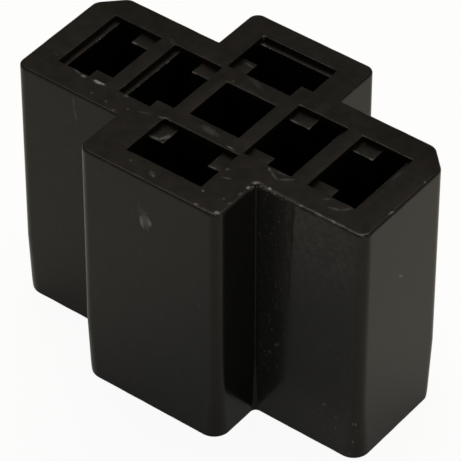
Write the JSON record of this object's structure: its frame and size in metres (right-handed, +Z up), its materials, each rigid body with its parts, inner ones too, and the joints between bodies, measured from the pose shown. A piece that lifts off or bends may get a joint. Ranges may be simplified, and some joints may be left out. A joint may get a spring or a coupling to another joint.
{
  "type": "connector block",
  "caption": "Black moulded connector block for blade terminals: stepped cross-shaped housing with a row of ribbed cavities, one in each side step, around a square centre hole.",
  "frame": {"origin": "middle of the mating face, on the surface that the block stands on", "axes": "+X along the row of cavities, +Y from the wide front step to the narrower rear step, +Z up from the mating face to the wire entry"},
  "size_m": [0.038, 0.0242, 0.0266],
  "materials": {
    "black_plastic": "moulded black nylon, semi-gloss sides and a duller, scuffed top"
  },
  "bodies": {
    "root": {"housing": "black_plastic"}
  },
  "joints": []
}
